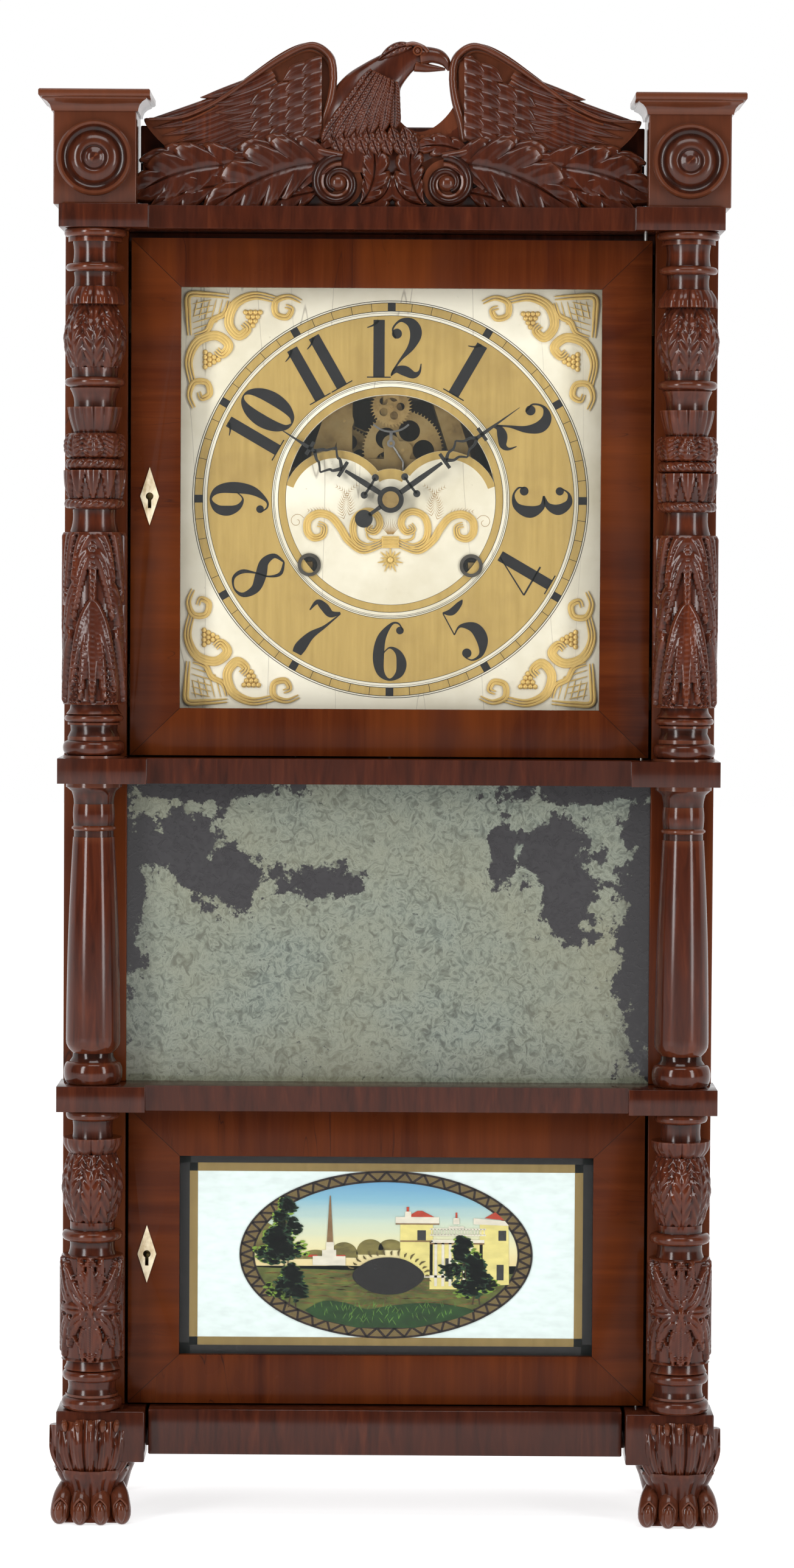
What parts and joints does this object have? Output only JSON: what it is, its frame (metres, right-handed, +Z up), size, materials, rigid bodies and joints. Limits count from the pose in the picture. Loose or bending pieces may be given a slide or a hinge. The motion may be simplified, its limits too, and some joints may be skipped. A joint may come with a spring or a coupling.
{
  "type": "triple-decker shelf clock",
  "caption": "Carved Empire shelf clock with eagle crest, columns, two glazed doors, mirror panel and a weight-driven striking movement",
  "frame": {"origin": "on the floor under the middle of the case's overall box", "axes": "+X to the clock's right seen from the front, +Y to the back, +Z up; the dial faces -Y"},
  "size_m": [0.444, 0.15, 0.941],
  "materials": {
    "veneer": "polished mahogany veneer, cross banded",
    "carved": "dark carved mahogany, semi-gloss",
    "pine": "plain pine, oiled",
    "glass": "clear old window glass",
    "mirror": "aged mirror glass with foxing",
    "tablet": "reverse painted glass",
    "dial_paint": "white painted wood with gilding",
    "bone": "bone inlay",
    "brass": "aged brass",
    "steel": "steel wire",
    "black_iron": "blued and blacked steel",
    "cast_iron": "cast iron, black",
    "cord": "braided cotton cord"
  },
  "bodies": {
    "case": {"backboard": "pine", "case_boards": "veneer", "front_stiles": "veneer", "cornice_ledge": "carved", "middle_ledge": "carved", "lower_ledge": "carved", "base_rail": "carved", "chimneys": "carved", "roundels": "carved", "eagle_splat": "carved", "upper_columns": "carved", "middle_columns": "carved", "lower_columns": "carved", "paw_feet": "carved", "rear_feet": "carved", "mirror_glass": "mirror", "dial_panel": "dial_paint", "movement_blocks": "pine", "door_pivots": "steel", "front_straps": "brass", "back_straps": "brass", "escape_cock": "brass", "pulley_brackets": "steel", "bell": "cast_iron", "cord_leads": "cord"},
    "upper_door": {"upper_door_frame": "veneer", "upper_door_glass": "glass", "upper_escutcheon": "bone", "upper_lock": "brass"},
    "lower_door": {"lower_door_frame": "veneer", "tablet_glass": "tablet", "lower_escutcheon": "bone", "lower_lock": "brass"},
    "upper_bolt": {"upper_lock_bolt": "brass"},
    "lower_bolt": {"lower_lock_bolt": "brass"},
    "centre_arbor": {"centre_wheel": "brass", "minute_hand": "black_iron"},
    "hour_pipe": {"hour_wheel": "brass", "hour_hand": "black_iron"},
    "minute_wheel_body": {"minute_wheel": "brass"},
    "time_great": {"time_great_wheel": "brass"},
    "time_second": {"time_second_wheel": "brass"},
    "time_third": {"time_third_wheel": "brass"},
    "escape": {"escape_wheel": "brass"},
    "verge_body": {"verge": "steel"},
    "pendulum": {"pendulum_rod": "steel", "pendulum_bob": "brass"},
    "time_drum_body": {"time_drum": "brass"},
    "strike_drum_body": {"strike_drum": "brass"},
    "time_weight_body": {"time_weight": "cast_iron", "time_cord": "cord"},
    "strike_weight_body": {"strike_weight": "cast_iron", "strike_cord": "cord"},
    "time_pulley_body": {"time_pulley": "brass"},
    "strike_pulley_body": {"strike_pulley": "brass"},
    "strike_great": {"strike_great_wheel": "brass"},
    "strike_pins": {"pin_wheel": "brass"},
    "warning": {"warning_wheel": "brass"},
    "fly_body": {"fly": "brass"},
    "hammer_body": {"hammer": "steel"}
  },
  "joints": [
    {"name": "upper_door_swing", "type": "hinge", "parent": "case", "child": "upper_door", "pos_m": [0.161, -0.039, 0.652], "axis": [0, 0, 1], "range_deg": [0, 95]},
    {"name": "lower_door_swing", "type": "hinge", "parent": "case", "child": "lower_door", "pos_m": [0.161, -0.039, 0.168], "axis": [0, 0, 1], "range_deg": [0, 95]},
    {"name": "upper_bolt_throw", "type": "slide", "parent": "upper_door", "child": "upper_bolt", "axis": [-1, 0, 0], "range_m": [0, 0.0045]},
    {"name": "lower_bolt_throw", "type": "slide", "parent": "lower_door", "child": "lower_bolt", "axis": [-1, 0, 0], "range_m": [0, 0.0045]},
    {"name": "minute_turn", "type": "hinge", "parent": "case", "child": "centre_arbor", "pos_m": [0, 0.02, 0.652], "axis": [0, 1, 0], "continuous": true},
    {"name": "hour_turn", "type": "hinge", "parent": "case", "child": "hour_pipe", "pos_m": [0, -0.01, 0.652], "axis": [0, 1, 0], "continuous": true},
    {"name": "minute_wheel_turn", "type": "hinge", "parent": "case", "child": "minute_wheel_body", "pos_m": [-0.02016, -0.008, 0.63688], "axis": [0, 1, 0], "continuous": true},
    {"name": "time_great_turn", "type": "hinge", "parent": "case", "child": "time_great", "pos_m": [0.0518, 0.02, 0.6102], "axis": [0, 1, 0], "continuous": true},
    {"name": "time_second_turn", "type": "hinge", "parent": "case", "child": "time_second", "pos_m": [0.03399, 0.02, 0.64825], "axis": [0, 1, 0], "continuous": true},
    {"name": "time_third_turn", "type": "hinge", "parent": "case", "child": "time_third", "pos_m": [0.00767, 0.02, 0.68416], "axis": [0, 1, 0], "continuous": true},
    {"name": "escape_turn", "type": "hinge", "parent": "case", "child": "escape", "pos_m": [0, 0.02, 0.712], "axis": [0, 1, 0], "continuous": true},
    {"name": "pendulum_swing", "type": "hinge", "parent": "case", "child": "pendulum", "pos_m": [0, -0.003, 0.63], "axis": [0, 1, 0], "range_deg": [-4, 4]},
    {"name": "verge_rock", "type": "hinge", "parent": "case", "child": "verge_body", "pos_m": [0, -0.0037, 0.6884], "axis": [0, 1, 0], "range_deg": [-2, 2]},
    {"name": "time_drum_wind", "type": "hinge", "parent": "case", "child": "time_drum_body", "pos_m": [0.0518, 0.032, 0.6102], "axis": [0, -1, 0], "range_deg": [0, 1990]},
    {"name": "time_weight_lift", "type": "slide", "parent": "case", "child": "time_weight_body", "axis": [0, 0, 1], "range_m": [0, 0.52], "deforming": ["time_cord"]},
    {"name": "time_pulley_turn", "type": "hinge", "parent": "case", "child": "time_pulley_body", "pos_m": [0.15, 0.032, 0.79], "axis": [0, -1, 0], "range_deg": [0, 2490]},
    {"name": "strike_drum_wind", "type": "hinge", "parent": "case", "child": "strike_drum_body", "pos_m": [-0.0518, 0.032, 0.6102], "axis": [0, 1, 0], "range_deg": [0, 1990]},
    {"name": "strike_weight_lift", "type": "slide", "parent": "case", "child": "strike_weight_body", "axis": [0, 0, 1], "range_m": [0, 0.52], "deforming": ["strike_cord"]},
    {"name": "strike_pulley_turn", "type": "hinge", "parent": "case", "child": "strike_pulley_body", "pos_m": [-0.15, 0.032, 0.79], "axis": [0, 1, 0], "range_deg": [0, 2490]},
    {"name": "pin_wheel_turn", "type": "hinge", "parent": "case", "child": "strike_pins", "pos_m": [-0.03399, 0.02, 0.64825], "axis": [0, 1, 0], "continuous": true},
    {"name": "strike_great_turn", "type": "hinge", "parent": "case", "child": "strike_great", "pos_m": [-0.0518, 0.02, 0.6102], "axis": [0, 1, 0], "continuous": true},
    {"name": "warning_turn", "type": "hinge", "parent": "case", "child": "warning", "pos_m": [-0.03, 0.02, 0.6803], "axis": [0, 1, 0], "continuous": true},
    {"name": "fly_turn", "type": "hinge", "parent": "case", "child": "fly_body", "pos_m": [-0.03, 0.02, 0.7027], "axis": [0, 1, 0], "continuous": true},
    {"name": "hammer_lift", "type": "hinge", "parent": "case", "child": "hammer_body", "pos_m": [-0.061, 0.02, 0.66575], "axis": [0, -1, 0], "range_deg": [-0.5, 8]}
  ],
  "couplings": [
    {"joint": "hour_turn", "follows": "minute_turn", "ratio": 0.083333},
    {"joint": "minute_wheel_turn", "follows": "minute_turn", "ratio": -0.33333},
    {"joint": "time_great_turn", "follows": "minute_turn", "ratio": 0.033333},
    {"joint": "time_second_turn", "follows": "minute_turn", "ratio": -0.2},
    {"joint": "time_third_turn", "follows": "minute_turn", "ratio": -8.5},
    {"joint": "escape_turn", "follows": "minute_turn", "ratio": 72.25},
    {"joint": "verge_rock", "follows": "pendulum_swing", "ratio": 0.476},
    {"joint": "time_drum_wind", "follows": "time_weight_lift", "rad_per_m": 66.667},
    {"joint": "time_pulley_turn", "follows": "time_weight_lift", "rad_per_m": 83.333},
    {"joint": "strike_drum_wind", "follows": "strike_weight_lift", "rad_per_m": 66.667},
    {"joint": "strike_pulley_turn", "follows": "strike_weight_lift", "rad_per_m": 83.333},
    {"joint": "strike_great_turn", "follows": "pin_wheel_turn", "ratio": -0.16667},
    {"joint": "warning_turn", "follows": "pin_wheel_turn", "ratio": -7.5},
    {"joint": "fly_turn", "follows": "pin_wheel_turn", "ratio": 45}
  ]
}
